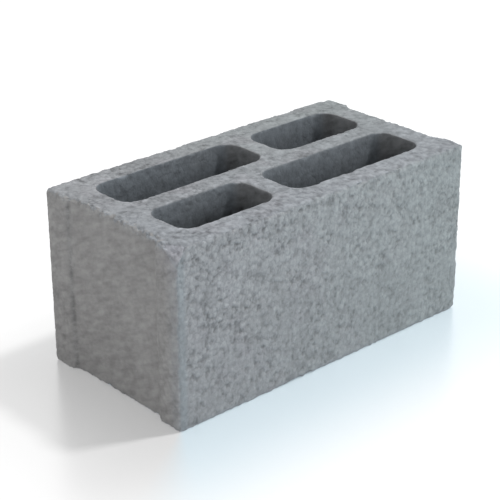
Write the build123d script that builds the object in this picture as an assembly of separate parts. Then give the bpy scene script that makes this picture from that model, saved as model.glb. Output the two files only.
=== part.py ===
from build123d import *

import os

# Hollow concrete block, pressed in one mould as one piece. All sizes are in millimetres.
# X runs along the length, Y across the width and Z up. The origin is the middle of the underside.

# Overall size
block_length = 390.0
block_width = 200.0
block_height = 190.0

# Walls and webs round the cores, as they measure on the top face
end_shell = 34.0
face_shell = 27.5
centre_web = 25.0
cross_web = 24.0

# The four cores: in each row a long one and a short one share the length
long_core = 180.0
core_corner_radius = 17.0
core_lean = 2.0  # how far each core wall leans in between the top face and the underside

# The shallow upright recess in each end, between two flanges
flange_width = 30.0
recess_depth = 5.0
recess_slope = 7.0  # how far across the width the recess's sloping side runs
recess_easing = 4.0  # radius where that side meets the flange and the recess's floor

# Edges
corner_radius = 3.0  # the four upright corners
top_edge_radius = 2.5  # the outer edge of the top face

# What follows from the sizes above
half_length = block_length / 2
half_width = block_width / 2
core_width = half_width - face_shell - centre_web / 2
short_core = block_length - 2 * end_shell - cross_web - long_core
core_row_offset = (centre_web + core_width) / 2
long_core_middle = end_shell + long_core / 2 - half_length
short_core_middle = half_length - end_shell - short_core / 2


def plan_outline():
    # Corners of one end from -Y to +Y, each with the radius that rounds it
    mouth = half_width - flange_width
    floor = mouth - recess_slope
    inset = half_length - recess_depth
    end_corners = [
        ((half_length, -half_width), corner_radius),
        ((half_length, -mouth), recess_easing),
        ((inset, -floor), recess_easing),
        ((inset, floor), recess_easing),
        ((half_length, mouth), recess_easing),
        ((half_length, half_width), corner_radius),
    ]
    points = [point for point, radius in end_corners]
    other_end = [(-x, -y) for x, y in points]
    radii = [radius for point, radius in end_corners]
    return make_face(FilletPolyline(points + other_end, radius=radii + radii, close=True))


def tapered_core(length, middle):
    # A core of the row on the +Y side: widest at the top face, with its corners rounded all the way down
    top = RectangleRounded(length, core_width, core_corner_radius)
    bottom = RectangleRounded(
        length - 2 * core_lean, core_width - 2 * core_lean, core_corner_radius - core_lean
    )
    place = Pos(middle, core_row_offset, 0)
    return loft([place * bottom, place * Pos(0, 0, block_height) * top])


def all_cores():
    # The second row is the first turned half round, so long cores lie beside short ones
    row = [tapered_core(long_core, long_core_middle), tapered_core(short_core, short_core_middle)]
    return row + [Rot(0, 0, 180) * core for core in row]


def concrete_block():
    blank = extrude(plan_outline(), amount=block_height)
    top_edges = blank.faces().sort_by(Axis.Z)[-1].outer_wire().edges()
    block = fillet(top_edges, top_edge_radius)
    return block - all_cores()


os.makedirs("parts", exist_ok=True)
export_step(concrete_block(), "parts/concrete_block.step")
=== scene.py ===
import math
import bmesh
import bpy
from mathutils import Matrix, Vector


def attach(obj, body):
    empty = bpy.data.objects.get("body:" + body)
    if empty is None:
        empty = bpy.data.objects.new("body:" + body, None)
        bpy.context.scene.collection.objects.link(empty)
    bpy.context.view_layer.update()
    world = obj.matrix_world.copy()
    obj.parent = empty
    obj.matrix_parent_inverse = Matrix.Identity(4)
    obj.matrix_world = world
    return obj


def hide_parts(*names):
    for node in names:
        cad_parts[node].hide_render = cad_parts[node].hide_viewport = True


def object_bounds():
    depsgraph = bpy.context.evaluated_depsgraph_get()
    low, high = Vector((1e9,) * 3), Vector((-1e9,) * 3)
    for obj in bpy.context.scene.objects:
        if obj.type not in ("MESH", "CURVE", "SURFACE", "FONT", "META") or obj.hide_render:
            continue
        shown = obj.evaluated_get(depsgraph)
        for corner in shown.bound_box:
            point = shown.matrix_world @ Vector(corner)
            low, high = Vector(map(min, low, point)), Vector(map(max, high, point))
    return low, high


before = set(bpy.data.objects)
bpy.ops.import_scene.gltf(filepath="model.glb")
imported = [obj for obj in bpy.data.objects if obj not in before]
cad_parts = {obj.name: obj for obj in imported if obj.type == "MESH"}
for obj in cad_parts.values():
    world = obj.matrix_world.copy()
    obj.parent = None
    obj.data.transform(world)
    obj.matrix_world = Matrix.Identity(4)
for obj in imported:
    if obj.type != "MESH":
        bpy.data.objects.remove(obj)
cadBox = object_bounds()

blockNode = "concrete_block"
mm = 0.001
white = (1.0, 1.0, 1.0, 1.0)
(lowX, lowY, lowZ), (highX, highY, highZ) = cadBox
nearLeftCorner = (lowX, lowY, highZ)  # of the top


# Node tree helpers


def wire(tree, value, socket):
    # A socket is linked, anything else becomes the input's own value
    if isinstance(value, bpy.types.NodeSocket):
        tree.links.new(value, socket)
    else:
        socket.default_value = value


def openInput(node, name):
    # Several sockets can share a name, and only one of them is in use
    return next(s for s in node.inputs if s.name == name and s.enabled)


def openOutput(node, name=None):
    return next(s for s in node.outputs if s.enabled and name in (None, s.name))


def put(tree, kind, inputs=None, **settings):
    # Places a node and fills its inputs, given by name or by number
    node = tree.nodes.new(kind)
    for name, value in settings.items():
        setattr(node, name, value)
    for name, value in (inputs or {}).items():
        wire(tree, value, node.inputs[name] if isinstance(name, int) else openInput(node, name))
    return node


def maths(tree, operation, *values, clamp=False):
    node = put(tree, "ShaderNodeMath", operation=operation, use_clamp=clamp)
    for socket, value in zip(node.inputs, values):
        wire(tree, value, socket)
    return node.outputs[0]


def vectorMaths(tree, operation, *values, scale=None):
    node = put(tree, "ShaderNodeVectorMath", operation=operation)
    for socket, value in zip(node.inputs, values):
        wire(tree, value, socket)
    if scale is not None:
        wire(tree, scale, openInput(node, "Scale"))
    return openOutput(node)


def split(tree, vector):
    return put(tree, "ShaderNodeSeparateXYZ", {"Vector": vector}).outputs


def join(tree, **parts):
    return put(tree, "ShaderNodeCombineXYZ", parts).outputs[0]


def total(tree, *parts):
    result = parts[0]
    for part in parts[1:]:
        result = maths(tree, "ADD", result, part)
    return result


def product(tree, *parts):
    result = parts[0]
    for part in parts[1:]:
        result = maths(tree, "MULTIPLY", result, part)
    return result


def without(tree, share):
    # What a share leaves of the whole
    return maths(tree, "SUBTRACT", 1.0, share)


def centred(tree, value, strength):
    # A field from nought to one becomes one about nought, as wide as its strength
    return maths(tree, "MULTIPLY", maths(tree, "SUBTRACT", value, 0.5), strength)


def remap(tree, value, low, high, toLow=0.0, toHigh=1.0):
    # A soft step between low and high
    names = {"Value": value, "From Min": low, "From Max": high, "To Min": toLow, "To Max": toHigh}
    return openOutput(put(tree, "ShaderNodeMapRange", names, interpolation_type="SMOOTHSTEP"))


def ease(tree, share, atNone, atFull):
    # The same, from one value to another as a share grows from nought to one
    return remap(tree, share, 0.0, 1.0, atNone, atFull)


noiseKinds = {  # detail, which adds ever finer noise, and how strong that is
    "smooth": (1.0, 0.5),
    "soft": (2.0, 0.5),
    "busy": (3.0, 0.5),
    "rugged": (3.0, 0.6),
    "torn": (3.0, 0.7),
    "craggy": (4.0, 0.7),
}


def noise(tree, vector, size, kind="soft", colour=False):
    # Noise whose features are about size metres across
    detail, rough = noiseKinds[kind]
    scale = maths(tree, "DIVIDE", 1.0, size)
    inputs = {"Vector": vector, "Scale": scale, "Detail": detail, "Roughness": rough}
    node = put(tree, "ShaderNodeTexNoise", inputs)
    return node.outputs["Color"] if colour else node.outputs[0]


def cells(tree, vector, size):
    # Distance to the nearest of scattered points, in cell sizes, and that point's random colour
    scale = maths(tree, "DIVIDE", 1.0, size)
    node = put(tree, "ShaderNodeTexVoronoi", {"Vector": vector, "Scale": scale})
    return openOutput(node, "Distance"), openOutput(node, "Color")


def blendColours(tree, share, first, second):
    node = put(tree, "ShaderNodeMix", data_type="RGBA")
    wire(tree, share, openInput(node, "Factor"))
    wire(tree, first, openInput(node, "A"))
    wire(tree, second, openInput(node, "B"))
    return openOutput(node)


# Camera, at the angle the block was photographed from

photoView = {
    "azimuth": -42.1,  # degrees
    "elevation": 24.65,
    "roll": -0.3,
    "distance": 1.6663,  # metres from the block's origin, before the slide
    "slideLeft": 0.012,
    "slideUp": 0.0867,
    "focalPixels": 1576.1,
    "pictureSide": 500,
    "sensorWidth": 36.0,
    "nearest": 0.05,  # what the camera sees begins here
    "farthest": 50.0,
}


def cameraAxes(view):
    # Where the picture's right, the picture's top and the camera's back point
    azimuth, elevation, roll = (math.radians(view[name]) for name in ("azimuth", "elevation", "roll"))
    flat = math.cos(elevation)
    back = Vector((math.sin(azimuth) * flat, -math.cos(azimuth) * flat, math.sin(elevation)))
    level = back.cross(Vector((0, 0, -1))).normalized()
    upright = back.cross(level)
    across = level * math.cos(roll) + upright * math.sin(roll)
    up = upright * math.cos(roll) - level * math.sin(roll)
    return across, up, back


def makeCamera(view):
    across, up, back = cameraAxes(view)
    data = bpy.data.cameras.new("photoCamera")
    data.sensor_width = view["sensorWidth"]
    data.lens = view["focalPixels"] * data.sensor_width / view["pictureSide"]
    data.clip_start = view["nearest"]
    data.clip_end = view["farthest"]
    camera = bpy.data.objects.new("photoCamera", data)
    place = back * view["distance"] - across * view["slideLeft"] + up * view["slideUp"]
    turn = Matrix((across, up, back)).transposed().to_4x4()
    camera.matrix_world = Matrix.Translation(place) @ turn
    bpy.context.scene.collection.objects.link(camera)
    bpy.context.scene.camera = camera


makeCamera(photoView)
print("camera placed")


# Light: an even white sky and two soft lamps

studioSky = {
    "light": 0.5,  # what falls on the block
    "white": 1.0,  # what the camera and mirrors see
}

studioLamps = {  # softness is in degrees
    "keyLamp": {"power": 1.8, "from": (0.57, -0.25, 1.0), "softness": 6.0},
    "frontLamp": {"power": 0.35, "from": (-0.1, -1.0, 0.25), "softness": 60.0},
}


def makeLamp(name, values):
    data = bpy.data.lights.new(name, "SUN")
    data.energy = values["power"]
    data.angle = math.radians(values["softness"])
    lamp = bpy.data.objects.new(name, data)
    lamp.rotation_mode = "QUATERNION"
    lamp.rotation_quaternion = Vector(values["from"]).to_track_quat("Z", "Y")
    bpy.context.scene.collection.objects.link(lamp)


def makeSky(values):
    world = bpy.data.worlds.new("studioSky")
    world.use_nodes = True
    tree = world.node_tree
    tree.nodes.clear()
    path = put(tree, "ShaderNodeLightPath")
    seen = maths(tree, "MAXIMUM", path.outputs["Is Camera Ray"], path.outputs["Is Glossy Ray"])
    seen = maths(tree, "MAXIMUM", seen, path.outputs["Is Transmission Ray"])
    spread = {"Value": seen, "To Min": values["light"], "To Max": values["white"]}
    strength = openOutput(put(tree, "ShaderNodeMapRange", spread))
    sky = put(tree, "ShaderNodeBackground", {"Color": white, "Strength": strength})
    end = put(tree, "ShaderNodeOutputWorld")
    tree.links.new(sky.outputs[0], end.inputs["Surface"])
    bpy.context.scene.world = world


# Floor: a glossy pale sheet that the camera sees brightened towards white

studioFloor = {
    "side": 12.0,
    "plain": (0.88, 0.88, 0.88, 1.0),  # before the left end and behind the block
    "cool": (0.8, 0.93, 1.0, 1.0),  # painted bluish light, elsewhere
    "tintTurn": (0.35, 0.65),  # where cool turns plain, from the near side at 0 to the left end at 1
    "roughness": 0.24,
    "index": 4.0,  # how strongly it mirrors the block
    "start": 8 * mm,  # how far inside the block's sides its distances are counted from
    "glow": 1.15,  # strength of the white that brightens it
    "lift": (0.25, 0.8),  # how far it is brightened, near the block and far from it
    "fade": 180 * mm,  # distance over which that changes
    "leftPace": 0.55,  # how fast it changes before the left end, against elsewhere
}


def distancesBeyond(tree, start):
    # How far a spot lies beyond the block's sides that look to -X and -Y, and beyond the other two
    spot = put(tree, "ShaderNodeTexCoord").outputs["Object"]
    inset = Vector((start, start, 0.0))
    none = (0.0, 0.0, 0.0)
    low = vectorMaths(tree, "SUBTRACT", Vector(cadBox[0]) + inset, spot)
    high = vectorMaths(tree, "SUBTRACT", spot, Vector(cadBox[1]) - inset)
    return vectorMaths(tree, "MAXIMUM", low, none), vectorMaths(tree, "MAXIMUM", high, none)


def floorLightTint(tree, low, high, values):
    # Painted bluish light on the floor before the near wall and the right end, plain before the left end
    # and behind
    leftward = maths(tree, "ADD", low["X"], high["Y"])
    rightward = maths(tree, "ADD", low["Y"], high["X"])
    toLeft = maths(tree, "DIVIDE", leftward, maths(tree, "ADD", leftward, rightward))
    toLeft = remap(tree, toLeft, *values["tintTurn"])
    return blendColours(tree, toLeft, values["cool"], values["plain"])


def floorGlow(tree, low, high, tint, values):
    # White light that only the camera sees, and the share of the floor that it stands for
    slow = maths(tree, "MULTIPLY", low["X"], values["leftPace"])
    noHeight = (1.0, 1.0, 0.0)
    away = vectorMaths(tree, "MULTIPLY_ADD", high, noHeight, join(tree, X=slow, Y=low["Y"]))
    away = remap(tree, vectorMaths(tree, "LENGTH", away), 0.0, values["fade"])
    colour = blendColours(tree, away, tint, white)
    glow = put(tree, "ShaderNodeEmission", {"Color": colour, "Strength": values["glow"]})
    least, most = values["lift"]
    lift = maths(tree, "MULTIPLY_ADD", away, most - least, least)
    seen = put(tree, "ShaderNodeLightPath").outputs["Is Camera Ray"]
    return glow.outputs[0], maths(tree, "MULTIPLY", seen, lift)


def mixFloor(values):
    material = bpy.data.materials.new("studioFloor")
    material.use_nodes = True
    tree = material.node_tree
    shader = tree.nodes["Principled BSDF"]
    shader.inputs["Roughness"].default_value = values["roughness"]
    shader.inputs["IOR"].default_value = values["index"]
    low, high = distancesBeyond(tree, values["start"])
    tint = floorLightTint(tree, split(tree, low), split(tree, high), values)
    wire(tree, tint, shader.inputs["Base Color"])
    glow, lift = floorGlow(tree, split(tree, low), high, tint, values)
    mixed = put(tree, "ShaderNodeMixShader", {0: lift, 1: shader.outputs[0], 2: glow})
    tree.links.new(mixed.outputs[0], tree.nodes["Material Output"].inputs["Surface"])
    return material


def makeFloor(values):
    half = values["side"] / 2
    corners = [(-half, -half, 0), (half, -half, 0), (half, half, 0), (-half, half, 0)]
    mesh = bpy.data.meshes.new("studioFloor")
    mesh.from_pydata(corners, [], [(0, 1, 2, 3)])
    mesh.materials.append(mixFloor(values))
    floor = bpy.data.objects.new("studioFloor", mesh)
    bpy.context.scene.collection.objects.link(floor)


bpy.context.scene.view_settings.view_transform = "Standard"
makeSky(studioSky)
for lampName, lampValues in studioLamps.items():
    makeLamp(lampName, lampValues)
makeFloor(studioFloor)
print("studio built")


# The concrete's relief. Both the mesh and the material are made from these fields, so that a pit's
# painted shade falls where it is deep. "at" holds what the fields know about a point

relief = {
    "Wave Size": 70 * mm,  # slow unevenness of the walls
    "Wave Depth": 0.5 * mm,
    "Stone Size": 4.6 * mm,  # the crushed stone in the mix
    "Stone Bend": 0.9,  # how far the stones are bent out of shape, in stone sizes
    "Stone Depth": 0.35 * mm,
    "Upright Pull": 0.98,  # how the mould's draw stretches the grain along Z: lower is longer
    "Open Size": 28 * mm,  # patches where paste is short and the stones show
    "Open Least": 0.65,  # how open it is between those patches
    "Foot Open": 0.76,  # how open it is at the foot,
    "Top Open": 1.3,  # at the top by the left end
    "Right Open": 0.86,  # and by the right end
    "Level Open": 0.75,  # share of that on a level face
    "End Open": 0.75,  # how open it is on an end
    "Pit Size": 5.4 * mm,
    "Pit Onset": 0.54,  # higher leaves more of them
    "Pit Slope": 0.3,  # how gently they begin
    "Pit Depth": 0.75 * mm,
    "Core Relief": 0.2,  # share of the stones', pits' and drag lines' depth on the walls of the cores
    "End Calm": 0.55,  # how far the paste closes over the stones on the two ends
    "Flange Calm": 0.5,  # share of that on their flanges
    "Seam Place": 66 * mm,  # the foot of the recess's sloping side, from the middle of the end
    "Seam Width": 3 * mm,
    "Seam Break": 11 * mm,  # size of its gaps
    "Seam Top": 14 * mm,  # how far below the top they begin to close
    "Seam Near": 0.25,  # share of its strength on the near side
    "Seam Depth": 0.9 * mm,
    "Drag Width": 3.4 * mm,
    "Drag Length": 30 * mm,
    "Drag Depth": 0.25 * mm,
    "Crumb Size": 7.5 * mm,  # crumbs that the edges lose
    "Crumb Least": 0.1,  # share of the depth lost between them
    "Crumb Depth": 1.2 * mm,
    "Chip Size": 22 * mm,
    "Chip Depth": 2.5 * mm,
    "Upright Loss": 0.4,  # share of the crumbs and chips that upright edges lose,
    "Core Loss": 0.45,  # the edges of the cores
    "End Loss": 0.4,  # and the left end's top edge
    "End Wear Size": 16 * mm,
    "End Wear Least": 0.15,  # how far the left end's top edge is worn round, from place to place
    "End Wear Most": 1.1,
    "End Wear Reach": 35 * mm,  # over which that fades in from the far corner
    "End Wear Far": 0.1,  # share of it at that corner
    "Knock Wear": 0.2,  # how far the far right corner is worn round
    "Knock Reach": 30 * mm,
    "Knock Height": 60 * mm,
    "Break Along": 14 * mm,  # how much of each edge the broken near left corner takes
    "Break Across": 26 * mm,
    "Break Down": 21 * mm,
    "Break Grain": 5 * mm,
    "Break Depth": 2.5 * mm,  # how uneven the break is
    "Fray": 3.5,  # how raggedly the faces' grain meets at the edges
    "End Fray": 1.0,  # and along the left end's top edge
    "End Fray Size": 7 * mm,
    "Seed": 3.0,
}

onsets = {  # where in its noise each kind of mark begins, and where it is full
    "crevice": (0.3, 0.8),  # from the middle of a stone
    "openPatch": (0.4, 0.6),
    "paleGrain": (0.55, 0.75),
    "dragLine": (0.35, 0.7),
    "seam": (0.4, 0.62),
    "crumb": (0.36, 0.64),
    "chip": (0.56, 0.68),
    "endWear": (0.35, 0.65),
    "endFray": (0.38, 0.62),
    "dust": (0.35, 0.65),
    "blush": (0.48, 0.66),
}

zones = {  # where the block's parts begin, and where they are full
    "coreInset": (12 * mm, 20 * mm),  # walls this far inside the sides are core walls
    "seamTurn": 50 * mm,  # how far to each side of an end's middle its seam has changed in full
    "endward": (0.4, 0.9),  # how far a face looks along X to be an end's
    "coreWall": (0.2, 0.8),  # how far a face inside looks sideways to be a core's wall
    "levelEdge": (0.2, 0.6),  # how far an edge looks up or down to be a level one
    "endTop": (-0.2, -0.45),  # what its X times its Z comes to on the left end's top edge
}


def seededSpot(tree, place, given):
    # The place that every field reads, moved by the seed, and the same squeezed along the mould's draw
    moved = vectorMaths(tree, "ADD", place, join(tree, X=given["Seed"]))
    squeeze = join(tree, X=1.0, Y=1.0, Z=given["Upright Pull"])
    return moved, vectorMaths(tree, "MULTIPLY", moved, squeeze)


def stray(tree, spot, size, reach):
    # Pushes about in every direction, as widely as the reach
    push = vectorMaths(tree, "SUBTRACT", noise(tree, spot, size, colour=True), (0.5, 0.5, 0.5))
    return vectorMaths(tree, "SCALE", push, scale=reach)


def stones(tree, spot, size, given):
    # Packed stones: each one's own random tone, and the crevices between them
    reach = maths(tree, "MULTIPLY", size, given["Stone Bend"])
    bent = vectorMaths(tree, "ADD", spot, stray(tree, spot, reach, reach))
    distance, colour = cells(tree, bent, size)
    return split(tree, colour)[0], remap(tree, distance, *onsets["crevice"])


def facingShares(tree, facing):
    # How much a point faces sideways, and how much it faces along the block
    parts = split(tree, facing)
    upright = maths(tree, "SUBTRACT", 1.0, maths(tree, "ABSOLUTE", parts["Z"]), clamp=True)
    return upright, remap(tree, maths(tree, "ABSOLUTE", parts["X"]), *zones["endward"])


def insideShare(tree, place):
    # Nought on the block's own sides and ends, one on the walls of the cores
    fromSides = vectorMaths(tree, "SUBTRACT", cadBox[1], vectorMaths(tree, "ABSOLUTE", place))
    parts = split(tree, fromSides)
    return remap(tree, maths(tree, "MINIMUM", parts["X"], parts["Y"]), *zones["coreInset"])


def coarseness(tree, at, given):
    # The mix is more open towards the top and the left end
    most = remap(tree, at["x"], lowX, highX, given["Top Open"], given["Right Open"])
    coarse = remap(tree, at["z"], lowZ, highZ, given["Foot Open"], most)
    coarse = maths(tree, "MULTIPLY", coarse, ease(tree, at["upright"], given["Level Open"], 1.0))
    fromEnd = maths(tree, "SUBTRACT", given["End Open"], coarse)
    return maths(tree, "MULTIPLY_ADD", fromEnd, at["endward"], coarse)


def closedShare(tree, at, given):
    # Where the paste closes over the stones: on the ends, and less on their flanges
    flangeFull = maths(tree, "ADD", given["Seam Place"], given["Seam Break"])
    across = maths(tree, "ABSOLUTE", at["y"])
    flange = remap(tree, across, given["Seam Place"], flangeFull, 1.0, given["Flange Calm"])
    return maths(tree, "MULTIPLY", at["endward"], flange)


def openPatches(tree, at, given):
    # How plainly the stones and pits show
    patch = noise(tree, at["moved"], given["Open Size"], "rugged")
    patch = remap(tree, patch, *onsets["openPatch"], given["Open Least"], 1.0)
    closed = maths(tree, "MULTIPLY", at["closed"], given["End Calm"])
    return product(tree, patch, at["coarse"], without(tree, closed))


def describePoint(tree, place, facing, given):
    # Where a point is, which way it faces and how open the mix is there
    parts = split(tree, place)
    at = {"place": place, "x": parts["X"], "y": parts["Y"], "z": parts["Z"]}
    at["moved"], at["spot"] = seededSpot(tree, place, given)
    at["facing"] = facing
    at["upright"], at["endward"] = facingShares(tree, facing)
    at["notEnd"] = without(tree, at["endward"])
    at["inside"] = insideShare(tree, place)
    at["coarse"] = coarseness(tree, at, given)
    at["closed"] = closedShare(tree, at, given)
    at["patch"] = openPatches(tree, at, given)
    return at


def pits(tree, at, given):
    # Holes that the paste left open, uneven in outline and in size
    field = noise(tree, at["spot"], given["Pit Size"], "smooth")
    hole = remap(tree, maths(tree, "SUBTRACT", given["Pit Onset"], field), 0.0, given["Pit Slope"])
    return maths(tree, "MULTIPLY", hole, at["patch"])


def paleGrains(tree, at, given):
    # Grains of the mix that stand proud between the pits
    field = noise(tree, at["spot"], given["Pit Size"], "smooth")
    return maths(tree, "MULTIPLY", remap(tree, field, *onsets["paleGrain"]), at["patch"])


def dragLines(tree, at, given):
    # Upright lines that the mould drags into the long walls
    squeeze = maths(tree, "DIVIDE", given["Drag Width"], given["Drag Length"])
    along = vectorMaths(tree, "MULTIPLY", at["moved"], join(tree, X=1.0, Y=1.0, Z=squeeze))
    lines = remap(tree, noise(tree, along, given["Drag Width"]), *onsets["dragLine"])
    return product(tree, lines, at["upright"], at["notEnd"])


def seamLine(tree, at, given):
    # A broken line along the foot of the recess's sloping side, cut in and darkened, plainest on the far
    # side
    offset = maths(tree, "SUBTRACT", maths(tree, "ABSOLUTE", at["y"]), given["Seam Place"])
    line = remap(tree, maths(tree, "ABSOLUTE", offset), given["Seam Width"], 0.0)
    broken = remap(tree, noise(tree, at["place"], given["Seam Break"], "torn"), *onsets["seam"])
    below = maths(tree, "SUBTRACT", highZ, at["z"])
    broken = maths(tree, "MAXIMUM", broken, remap(tree, below, given["Seam Top"], 0.0))
    farSide = remap(tree, at["y"], -zones["seamTurn"], zones["seamTurn"], given["Seam Near"], 1.0)
    return product(tree, line, broken, farSide, at["endward"], without(tree, at["inside"]))


def cornerShare(tree, place, corner, reach, height):
    # One at a corner of the block, fading to nought at the reach along the top and the height below it
    squash = join(tree, X=1.0, Y=1.0, Z=maths(tree, "DIVIDE", reach, height))
    away = vectorMaths(tree, "MULTIPLY", vectorMaths(tree, "SUBTRACT", place, corner), squash)
    return remap(tree, vectorMaths(tree, "LENGTH", away), reach, 0.0)


# The block's skin, which cuts those fields into a fine mesh of the solid

skin = {
    "meshStep": 1.4 * mm,  # spacing of the fine mesh
    "mergeWithin": 0.01 * mm,  # points this close are one
    "mostTriangles": 196000,  # once it is thinned
    "edgeReach": 30,  # blur steps that find the edges,
    "wearReach": 90,  # that round the worn ones
    "smoothing": 3,  # and that smooth the way a point faces
    "edgeStart": 0.15 * mm,  # how far a point stands out of its surroundings where an edge begins,
    "edgeFull": 2.0 * mm,  # where it is full
    "raggedFull": 2.5 * mm,  # and where the left end's top edge is at its most ragged
    "hollowFull": 4.0 * mm,  # how far it lies back where an inner corner is at its deepest
    "raggedDust": 0.5,  # how much of the stones and pits dust hides at that ragged edge
    "chipShow": 0.3,  # how plainly chips show, against the broken corner
    "brokenUp": 5.0,  # how far that corner takes on the looks of the top
}

storedShares = ("edge", "corner", "broken", "hollow", "dusted")  # what the material reads of the skin


def blurred(tree, value, steps):
    inputs = {"Value": value, "Iterations": steps}
    return openOutput(put(tree, "GeometryNodeBlurAttribute", inputs, data_type="FLOAT_VECTOR"))


def addSurroundings(tree, at, normal, values):
    # How a point lies among its neighbours: on an outer edge, or in an inner corner
    start = values["edgeStart"]
    around = blurred(tree, at["place"], values["edgeReach"])
    standOut = vectorMaths(tree, "SUBTRACT", at["place"], around)
    standOut = vectorMaths(tree, "DOT_PRODUCT", standOut, normal)
    at["edge"] = remap(tree, standOut, start, values["edgeFull"])
    at["corner"] = remap(tree, standOut, -start, -values["edgeFull"])
    around = blurred(tree, at["place"], values["wearReach"])
    at["broad"] = vectorMaths(tree, "SUBTRACT", at["place"], around)
    at["bulge"] = vectorMaths(tree, "DOT_PRODUCT", at["broad"], normal)
    at["hollow"] = remap(tree, at["bulge"], -start, -values["hollowFull"])


def addEndTop(tree, at, given, values):
    # The left end's top edge, which fades out towards its far corner, and the dust on it
    outward = split(tree, vectorMaths(tree, "NORMALIZE", at["broad"]))
    upward = maths(tree, "GREATER_THAN", outward["Z"], 0.0)
    endTop = remap(tree, maths(tree, "MULTIPLY", outward["X"], outward["Z"]), *zones["endTop"])
    endTop = product(tree, endTop, without(tree, at["inside"]), upward)
    fromFar = maths(tree, "SUBTRACT", highY, at["y"])
    fade = remap(tree, fromFar, 0.0, given["End Wear Reach"], given["End Wear Far"], 1.0)
    at["endTop"] = maths(tree, "MULTIPLY", endTop, fade)
    at["levelness"] = maths(tree, "ABSOLUTE", outward["Z"])
    ragged = remap(tree, at["bulge"], values["edgeStart"], values["raggedFull"])
    at["ragged"] = maths(tree, "MULTIPLY", ragged, at["endTop"])
    at["dusted"] = maths(tree, "MULTIPLY_ADD", at["ragged"], -values["raggedDust"], 1.0)


def castDepth(tree, at, given):
    # Stones, drag lines and pits
    crevice = stones(tree, at["spot"], given["Stone Size"], given)[1]
    grit = product(tree, crevice, at["patch"], given["Stone Depth"])
    drag = product(tree, dragLines(tree, at, given), given["Drag Depth"])
    pit = product(tree, pits(tree, at, given), given["Pit Depth"])
    rough = ease(tree, at["inside"], 1.0, given["Core Relief"])
    return product(tree, total(tree, grit, drag, pit), rough, at["dusted"])


def addEdgeLosses(tree, at, given):
    # Edges lose crumbs everywhere and a chip here and there
    loose = product(
        tree,
        ease(tree, at["inside"], 1.0, given["Core Loss"]),
        remap(tree, at["levelness"], *zones["levelEdge"], given["Upright Loss"], 1.0),
        ease(tree, at["endTop"], 1.0, given["End Loss"]),
    )
    crumb = noise(tree, at["moved"], given["Crumb Size"])
    crumb = remap(tree, crumb, *onsets["crumb"], given["Crumb Least"], 1.0)
    at["crumbled"] = product(tree, crumb, at["edge"], loose)
    chip = noise(tree, at["moved"], given["Chip Size"], "rugged")
    at["chipped"] = product(tree, remap(tree, chip, *onsets["chip"]), at["edge"], loose)


def roundingShare(tree, at, given):
    # How far the left end's top edge and the far right corner are worn round
    worn = noise(tree, at["moved"], given["End Wear Size"], "craggy")
    worn = remap(tree, worn, *onsets["endWear"], given["End Wear Least"], given["End Wear Most"])
    worn = maths(tree, "MULTIPLY", worn, at["endTop"])
    knock = cornerShare(tree, at["place"], cadBox[1], given["Knock Reach"], given["Knock Height"])
    return total(tree, worn, maths(tree, "MULTIPLY", knock, given["Knock Wear"]))


def addBreak(tree, at, given):
    # How far a point lies beyond the rough flat face that the near left corner broke off at
    taken = join(tree, X=given["Break Along"], Y=given["Break Across"], Z=given["Break Down"])
    slope = vectorMaths(tree, "DIVIDE", (-1.0, -1.0, 1.0), taken)
    at["breakLook"] = vectorMaths(tree, "NORMALIZE", slope)
    fromCorner = vectorMaths(tree, "SUBTRACT", at["place"], nearLeftCorner)
    beyond = vectorMaths(tree, "DOT_PRODUCT", fromCorner, at["breakLook"])
    cornerHeight = maths(tree, "DIVIDE", 1.0, vectorMaths(tree, "LENGTH", slope))
    beyond = maths(tree, "ADD", beyond, cornerHeight)
    grain = maths(tree, "SUBTRACT", noise(tree, at["place"], given["Break Grain"]), 0.5)
    beyond = maths(tree, "MULTIPLY_ADD", grain, given["Break Depth"], beyond)
    at["beyondBreak"] = maths(tree, "MAXIMUM", beyond, 0.0)
    at["lost"] = remap(tree, at["beyondBreak"], 0.0, given["Break Depth"])


def frayedFacing(tree, at, given, values):
    # The way the material takes a point to face, so that the looks of two faces meet raggedly
    fray = product(tree, at["edge"], without(tree, at["inside"]), given["Fray"])
    fray = stray(tree, at["moved"], given["Crumb Size"], fray)
    endFray = noise(tree, at["place"], given["End Fray Size"], "rugged")
    endFray = remap(tree, endFray, *onsets["endFray"], -1.0, 1.0)
    endFray = product(tree, endFray, at["ragged"], given["End Fray"])
    raised = maths(tree, "MULTIPLY", at["lost"], values["brokenUp"])
    facing = vectorMaths(tree, "ADD", at["facing"], fray)
    facing = vectorMaths(tree, "ADD", facing, join(tree, X=endFray, Z=endFray))
    facing = vectorMaths(tree, "ADD", facing, join(tree, Z=raised))
    return vectorMaths(tree, "NORMALIZE", facing)


def pushedIn(tree, outward, depth):
    return vectorMaths(tree, "SCALE", outward, scale=maths(tree, "MULTIPLY", depth, -1.0))


def cutVector(tree, at, given):
    # How far each point moves, and which way: inwards, and an edge that is worn round towards its middle
    wave = product(tree, noise(tree, at["moved"], given["Wave Size"], "smooth"), given["Wave Depth"])
    depth = total(
        tree,
        wave,
        castDepth(tree, at, given),
        product(tree, seamLine(tree, at, given), given["Seam Depth"]),
        product(tree, at["crumbled"], given["Crumb Depth"]),
        product(tree, at["chipped"], given["Chip Depth"]),
    )
    rounding = pushedIn(tree, at["broad"], roundingShare(tree, at, given))
    cut = vectorMaths(tree, "ADD", pushedIn(tree, at["facing"], depth), rounding)
    return vectorMaths(tree, "ADD", cut, pushedIn(tree, at["breakLook"], at["beyondBreak"]))


def geometryStep(tree, kind, mesh, inputs, **settings):
    # Passes the mesh through one more node
    return put(tree, "GeometryNode" + kind, {"Geometry": mesh, **inputs}, **settings).outputs[0]


def storeFields(tree, mesh, kind, fields):
    settings = {"data_type": kind, "domain": "POINT"}
    for name, value in fields.items():
        mesh = geometryStep(tree, "StoreNamedAttribute", mesh, {"Name": name, "Value": value}, **settings)
    return mesh


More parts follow.
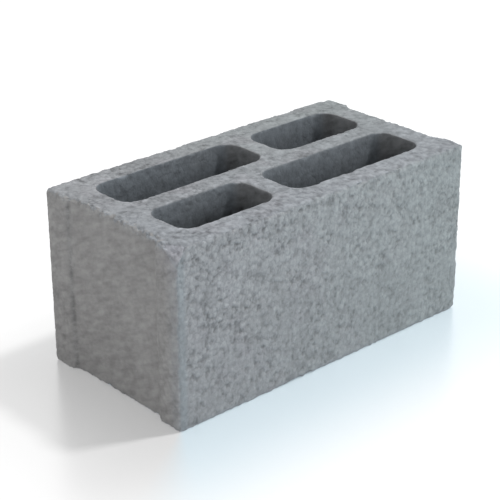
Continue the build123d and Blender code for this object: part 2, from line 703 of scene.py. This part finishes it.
def newSkinTree():
    tree = bpy.data.node_groups.new("pressedConcreteSkin", "GeometryNodeTree")
    tree.is_modifier = True
    tree.interface.new_socket("Geometry", in_out="INPUT", socket_type="NodeSocketGeometry")
    for name in relief:
        tree.interface.new_socket(name, in_out="INPUT", socket_type="NodeSocketFloat")
    tree.interface.new_socket("Material", in_out="INPUT", socket_type="NodeSocketMaterial")
    tree.interface.new_socket("Geometry", in_out="OUTPUT", socket_type="NodeSocketGeometry")
    return tree


def buildSkinTree(values):
    tree = newSkinTree()
    given = put(tree, "NodeGroupInput").outputs
    place = put(tree, "GeometryNodeInputPosition").outputs[0]
    normal = put(tree, "GeometryNodeInputNormal").outputs[0]
    facing = vectorMaths(tree, "NORMALIZE", blurred(tree, normal, values["smoothing"]))
    at = describePoint(tree, place, facing, given)
    addSurroundings(tree, at, normal, values)
    addEndTop(tree, at, given, values)
    addEdgeLosses(tree, at, given)
    addBreak(tree, at, given)
    chipShow = maths(tree, "MULTIPLY", at["chipped"], values["chipShow"])
    at["broken"] = maths(tree, "MAXIMUM", chipShow, at["lost"])

    # What the material reads later is stored before the mesh moves
    shares = {name: at[name] for name in storedShares}
    vectors = {"castPlace": place, "castFacing": frayedFacing(tree, at, given, values)}
    mesh = storeFields(tree, given["Geometry"], "FLOAT", shares)
    mesh = storeFields(tree, mesh, "FLOAT_VECTOR", vectors)
    mesh = geometryStep(tree, "SetPosition", mesh, {"Offset": cutVector(tree, at, given)})
    mesh = geometryStep(tree, "SetShadeSmooth", mesh, {"Shade Smooth": True})
    mesh = geometryStep(tree, "RealizeInstances", mesh, {})
    mesh = geometryStep(tree, "SetMaterial", mesh, {"Material": given["Material"]})
    tree.links.new(mesh, put(tree, "NodeGroupOutput").inputs["Geometry"])
    return tree


def giveInputs(modifier, values):
    # Inputs are set by their sockets' identifiers
    for item in modifier.node_group.interface.items_tree:
        if item.item_type == "SOCKET" and item.in_out == "INPUT" and item.name in values:
            modifier[item.identifier] = values[item.name]


# The concrete's colours. A tone is added to one, and the result multiplies the colour

concrete = {
    "coolColour": (0.311, 0.321, 0.335, 1.0),  # the long walls, towards the left end
    "freshColour": (0.321, 0.349, 0.356, 1.0),  # the same, towards the right end
    "plainColour": (0.3075, 0.3045, 0.303, 1.0),  # the ends
    "topColour": (0.303, 0.324, 0.351, 1.0),
    "topShare": (0.9, 0.12),  # how much of it shows, near side and far side
    "coreColour": (0.292, 0.329, 0.366, 1.0),  # the cores' long walls
    "coreEndWarm": 0.65,  # how far the cores' end walls take the ends' colour
    "borderColour": (0.269, 0.3, 0.321, 1.0),  # a smooth band on the long wall beside the left end
    "borderWidth": 13 * mm,
    "borderShare": 0.7,
    "creepReach": 24 * mm,  # how far the near wall's colour creeps round on to an end
    "creepShare": 0.2,  # how much of the end's own colour it leaves there
    "creepTone": 0.04,
    "driftSize": 40 * mm,
    "driftPlace": (0.0, 5.0, 0.0),  # where in the noise the drift lies
    "drift": 0.5,  # how widely the colour drifts towards the ends'
    "blushColour": (0.325, 0.318, 0.345, 1.0),
    "blushPlace": (5.0, 0.0, 0.0),
    "blush": 0.28,
    "blushTurn": (0.4, 1.6),  # where it fades, from -2 at the far left corner to 2 at the near right one
    "blushRight": 0.2,  # share of it left at the near right
    "brokenBlush": 0.55,  # on the broken corner
    "endBlush": 0.6,  # on the left end, by its near top corner
    "endBlushReach": 42 * mm,
    "cloudSize": 45 * mm,
    "cloudTone": 0.25,
    "blotchSize": 9 * mm,
    "blotchTone": 0.2,
    "stoneTone": 0.16,
    "sandSize": 2.0 * mm,
    "sandTone": 0.06,
    "creviceTone": -0.16,
    # darker in the pits: painted shade in them, along with their own damp
    "pitShadeTone": -0.3,
    "paleTone": 0.16,
    "dragTone": -0.06,
    "endCalm": 0.5,  # how much fainter all that speckle is on the ends,
    "coreCalm": 0.75,  # in the cores
    "borderCalm": 0.75,  # and on the border beside the left end
    # painted shade: the long walls darken towards the foot
    "footShadeTone": 0.12,  # long walls are darker at the foot by this much
    "grainSize": 7.2 * mm,  # coarser grain on the struck top
    "grainTone": 0.95,
    "grainShare": (1.2, 0.7),  # how much of it shows, near side and far side
    "grainStrip": 0.7,  # and beside the left end
    "topTone": -0.025,
    "stripTone": 0.08,  # the top is paler beside the left end
    "stripWidth": 45 * mm,
    "topCloudSize": 60 * mm,
    "topCloudTone": 0.45,
    "topCloudPlace": (31.7, 47.2, 15.2),  # where in the noise the top's light and dark patches lie
    "bandSize": 6 * mm,  # bands on the ends
    "bandLength": 15 * mm,
    "bandClimb": 0.41,  # how they climb towards the near corner
    "bandTone": 0.78,
    "endCloudSize": 16 * mm,
    "endCloudTone": 0.16,
    "seamTone": -0.3,
    "edgeTone": 0.02,
    # painted light: the broken corner and chips are paler, lifting a facet that turns away from the key
    # lamp
    "brokenLightTone": 0.22,
    "brokenTopLightTone": 0.26,  # painted light, added at the top of the broken corner
    "brokenFade": 14 * mm,  # below the top over which that ends
    "wornTone": 0.55,  # pale dust where the left end's top edge is worn
    "wornSize": 5 * mm,
    # painted shade, darkening the cores' walls all over
    "coreTone": -0.28,
    "mottleSize": 10 * mm,  # light and dark patches on the cores' walls
    "mottleTone": 0.6,
    "coreDepth": 55 * mm,  # below the top where the cores' painted shade is at its darkest
    "coreDepthShadeTone": -0.33,
    "deepCornerShadeTone": -0.8,  # painted shade towards their corners
    "cornerShadeTone": -0.2,  # painted shade right in their corners
    "shadowPatchPlace": (-76 * mm, -14 * mm, 138 * mm),  # a patch of painted shadow deep in the near short core
    "shadowPatchReach": 55 * mm,
    "shadowPatchTone": -0.36,
    "roughness": (0.82, 0.96),
    "coreSmooth": 0.6,  # how much lower the bumps are in the cores
    "stoneHeight": 0.3 * mm,
    "sandHeight": 0.08 * mm,
    "pitHeight": 0.35 * mm,
    "dustHeight": 0.04 * mm,
    "dustSize": 0.9 * mm,
}


def readField(tree, name):
    return put(tree, "ShaderNodeAttribute", attribute_name=name).outputs


def fainter(tree, share, calm):
    # What is left of the grain where a share of the surface calms it
    return without(tree, maths(tree, "MULTIPLY", share, calm))


def noiseTone(tree, spot, values, name, kind="soft"):
    # Light and dark patches of the size and tone that go by a name
    return centred(tree, noise(tree, spot, values[name + "Size"], kind), values[name + "Tone"])


def describeSurface(tree, values):
    # What was stored on the mesh, and what the looks need besides
    place = readField(tree, "castPlace")["Vector"]
    at = describePoint(tree, place, readField(tree, "castFacing")["Vector"], relief)
    for name in storedShares:
        at[name] = readField(tree, name)["Fac"]
    at["top"] = without(tree, at["upright"])
    at["longWall"] = maths(tree, "MULTIPLY", at["upright"], at["notEnd"])
    at["core"] = maths(tree, "MULTIPLY", at["inside"], remap(tree, at["upright"], *zones["coreWall"]))
    at["stoneTone"], at["crevice"] = stones(tree, at["spot"], relief["Stone Size"], relief)
    at["sandTone"], at["sandGap"] = stones(tree, at["spot"], values["sandSize"], relief)
    at["hole"] = pits(tree, at, relief)
    width = values["borderWidth"]
    border = maths(tree, "SUBTRACT", at["x"], lowX)
    border = remap(tree, border, width, width / 2, 0.0, values["borderShare"])
    at["border"] = maths(tree, "MULTIPLY", border, at["longWall"])
    at["creep"] = remap(tree, at["y"], lowY + values["creepReach"], lowY)
    return at


def speckleTone(tree, at, values):
    # Stones, sand, pits and drag lines
    grit = total(
        tree,
        centred(tree, at["stoneTone"], values["stoneTone"]),
        centred(tree, at["sandTone"], values["sandTone"]),
    )
    speckle = total(
        tree,
        maths(tree, "MULTIPLY", grit, at["coarse"]),
        noiseTone(tree, at["spot"], values, "blotch"),
        product(tree, at["crevice"], at["patch"], values["creviceTone"]),
        # painted shade in the pits, along with their own damp
        product(tree, at["hole"], values["pitShadeTone"]),
        product(tree, paleGrains(tree, at, relief), values["paleTone"]),
        product(tree, dragLines(tree, at, relief), values["dragTone"]),
    )
    calm = product(
        tree,
        fainter(tree, at["closed"], values["endCalm"]),
        fainter(tree, at["core"], values["coreCalm"]),
        fainter(tree, at["border"], values["borderCalm"]),
    )
    return maths(tree, "MULTIPLY", speckle, calm)


def topTone(tree, at, values):
    strip = remap(tree, at["x"], lowX + values["stripWidth"], lowX)
    grain = product(
        tree,
        noiseTone(tree, at["moved"], values, "grain"),
        remap(tree, at["y"], lowY, highY, *values["grainShare"]),
        ease(tree, strip, 1.0, values["grainStrip"]),
    )
    cloudSpot = vectorMaths(tree, "ADD", at["moved"], values["topCloudPlace"])
    tone = total(
        tree,
        grain,
        noiseTone(tree, cloudSpot, values, "topCloud", "smooth"),
        values["topTone"],
        product(tree, strip, values["stripTone"]),
    )
    return maths(tree, "MULTIPLY", tone, at["top"])


def endTone(tree, at, values):
    # Bands that climb towards the near corner, patches, and the seam along the recess
    climb = maths(tree, "MULTIPLY_ADD", at["y"], values["bandClimb"], at["z"])
    level = maths(tree, "MULTIPLY", at["y"], values["bandSize"] / values["bandLength"])
    bandSpot = join(tree, X=at["x"], Y=level, Z=climb)
    tone = total(
        tree,
        noiseTone(tree, bandSpot, values, "band", "busy"),
        noiseTone(tree, at["moved"], values, "endCloud"),
        product(tree, at["creep"], values["creepTone"]),
    )
    seam = product(tree, seamLine(tree, at, relief), values["seamTone"])
    return total(tree, product(tree, tone, at["endward"]), seam)


def edgeTone(tree, at, values):
    # Edges, painted light on broken places, and the dust on the worn top edge of the left end
    brokenTop = remap(tree, at["z"], highZ - values["brokenFade"], highZ)
    dust = remap(tree, noise(tree, at["moved"], values["wornSize"]), *onsets["dust"])
    return total(
        tree,
        product(tree, at["edge"], values["edgeTone"]),
        product(tree, at["broken"], values["brokenLightTone"]),
        product(tree, at["broken"], brokenTop, values["brokenTopLightTone"]),
        product(tree, without(tree, at["dusted"]), dust, values["wornTone"]),
    )


def coreTone(tree, at, values):
    # Mottle on the cores' walls, and painted shade: darker all over, with depth, towards and in their
    # corners, and in a patch of painted shadow deep in the near short core
    deep = remap(tree, at["z"], highZ, highZ - values["coreDepth"])
    shadowPatch = cornerShare(tree, at["place"], values["shadowPatchPlace"], values["shadowPatchReach"], values["shadowPatchReach"])
    tone = total(
        tree,
        values["coreTone"],
        noiseTone(tree, at["moved"], values, "mottle", "rugged"),
        product(tree, deep, values["coreDepthShadeTone"]),
        product(tree, at["hollow"], deep, values["deepCornerShadeTone"]),
        product(tree, shadowPatch, values["shadowPatchTone"]),
        product(tree, at["corner"], values["cornerShadeTone"]),
    )
    return maths(tree, "MULTIPLY", tone, at["core"])


def wholeTone(tree, at, values):
    # painted shade, darker towards the foot of the long walls
    height = centred(tree, remap(tree, at["z"], lowZ, highZ), values["footShadeTone"])
    return total(
        tree,
        1.0,
        noiseTone(tree, at["moved"], values, "cloud", "busy"),
        speckleTone(tree, at, values),
        product(tree, height, at["longWall"]),
        topTone(tree, at, values),
        endTone(tree, at, values),
        edgeTone(tree, at, values),
        coreTone(tree, at, values),
    )


def wallColour(tree, at, values):
    # The long walls' cool colour, the cores' and the ends'
    driftSpot = vectorMaths(tree, "ADD", at["moved"], values["driftPlace"])
    drift = centred(tree, noise(tree, driftSpot, values["driftSize"]), values["drift"])
    onEnd = maths(tree, "MULTIPLY", at["endward"], ease(tree, at["core"], 1.0, values["coreEndWarm"]))
    onEnd = maths(tree, "MULTIPLY", onEnd, ease(tree, at["creep"], 1.0, values["creepShare"]))
    cool = product(tree, maths(tree, "ADD", 1.0, drift, clamp=True), without(tree, onEnd))
    along = remap(tree, at["x"], lowX, highX)
    colour = blendColours(tree, along, values["coolColour"], values["freshColour"])
    colour = blendColours(tree, at["core"], colour, values["coreColour"])
    return blendColours(tree, cool, values["plainColour"], colour)


def blushShare(tree, at, values):
    # A mauve tint in patches, on the broken corner and by the left end's near top corner
    blushSpot = vectorMaths(tree, "ADD", at["moved"], values["blushPlace"])
    blush = noise(tree, blushSpot, values["driftSize"], "busy")
    blush = remap(tree, blush, *onsets["blush"], 0.0, values["blush"])
    along = maths(tree, "DIVIDE", at["x"], highX)
    across = maths(tree, "DIVIDE", at["y"], highY)
    nearRight = maths(tree, "SUBTRACT", along, across)
    nearRight = remap(tree, nearRight, *values["blushTurn"], 1.0, values["blushRight"])
    blush = product(tree, blush, at["notEnd"], nearRight, without(tree, at["core"]))
    reach = values["endBlushReach"]
    onCorner = cornerShare(tree, at["place"], nearLeftCorner, reach, reach)
    onCorner = product(tree, onCorner, at["endward"], values["endBlush"])
    blush = maths(tree, "ADD", blush, onCorner, clamp=True)
    return maths(tree, "MAXIMUM", blush, maths(tree, "MULTIPLY", at["broken"], values["brokenBlush"]))


def surfaceColour(tree, at, values):
    topShare = remap(tree, at["y"], lowY, highY, *values["topShare"])
    topShare = maths(tree, "MULTIPLY", at["top"], topShare)
    colour = blendColours(tree, topShare, wallColour(tree, at, values), values["topColour"])
    colour = blendColours(tree, blushShare(tree, at, values), colour, values["blushColour"])
    colour = blendColours(tree, at["border"], colour, values["borderColour"])
    tone = wholeTone(tree, at, values)
    return vectorMaths(tree, "MULTIPLY", colour, join(tree, X=tone, Y=tone, Z=tone))


def bumpHeight(tree, at, values):
    # Grain too fine for the mesh
    powder = noise(tree, at["spot"], values["dustSize"])
    height = total(
        tree,
        product(tree, at["crevice"], at["patch"], -values["stoneHeight"]),
        product(tree, at["sandGap"], -values["sandHeight"]),
        product(tree, at["hole"], -values["pitHeight"]),
        product(tree, powder, values["dustHeight"]),
    )
    return maths(tree, "MULTIPLY", height, fainter(tree, at["core"], values["coreSmooth"]))


def makeConcrete(values):
    material = bpy.data.materials.new("concrete")
    material.use_nodes = True
    tree = material.node_tree
    shader = tree.nodes["Principled BSDF"]
    at = describeSurface(tree, values)
    wire(tree, surfaceColour(tree, at, values), shader.inputs["Base Color"])
    wire(tree, ease(tree, at["sandTone"], *values["roughness"]), shader.inputs["Roughness"])
    height = bumpHeight(tree, at, values)
    bump = put(tree, "ShaderNodeBump", {"Strength": 1.0, "Distance": 1.0, "Height": height})
    wire(tree, bump.outputs[0], shader.inputs["Normal"])
    return material


concreteMaterial = makeConcrete(concrete)
print("concrete mixed")


# The block itself


def copyBlank(node, mergeWithin):
    # The cast shape as the frame gives it, as one closed mesh
    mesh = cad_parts[node].data.copy()
    mesh.materials.clear()
    work = bmesh.new()
    work.from_mesh(mesh)
    bmesh.ops.remove_doubles(work, verts=work.verts, dist=mergeWithin)
    work.to_mesh(mesh)
    work.free()
    blank = bpy.data.objects.new("concreteBlock", mesh)
    bpy.context.scene.collection.objects.link(blank)
    return blank


def settle(piece):
    # Turns what the modifiers make into a plain mesh
    evaluated = piece.evaluated_get(bpy.context.evaluated_depsgraph_get())
    mesh = bpy.data.meshes.new_from_object(evaluated)
    piece.modifiers.clear()
    piece.data = mesh


def countTriangles(mesh):
    mesh.calc_loop_triangles()
    return len(mesh.loop_triangles)


def castBlock(values):
    block = copyBlank(blockNode, values["mergeWithin"])
    remesh = block.modifiers.new("fineMesh", "REMESH")
    remesh.mode = "VOXEL"
    remesh.voxel_size = values["meshStep"]
    cut = block.modifiers.new("relief", "NODES")
    cut.node_group = buildSkinTree(values)
    giveInputs(cut, {**relief, "Material": concreteMaterial})
    settle(block)
    triangles = countTriangles(block.data)
    print("relief cut:", triangles, "triangles")
    thin = block.modifiers.new("thin", "DECIMATE")
    thin.ratio = values["mostTriangles"] / triangles
    settle(block)
    print("block finished:", countTriangles(block.data), "triangles")
    return block


block = castBlock(skin)
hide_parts(blockNode)
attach(block, "root")
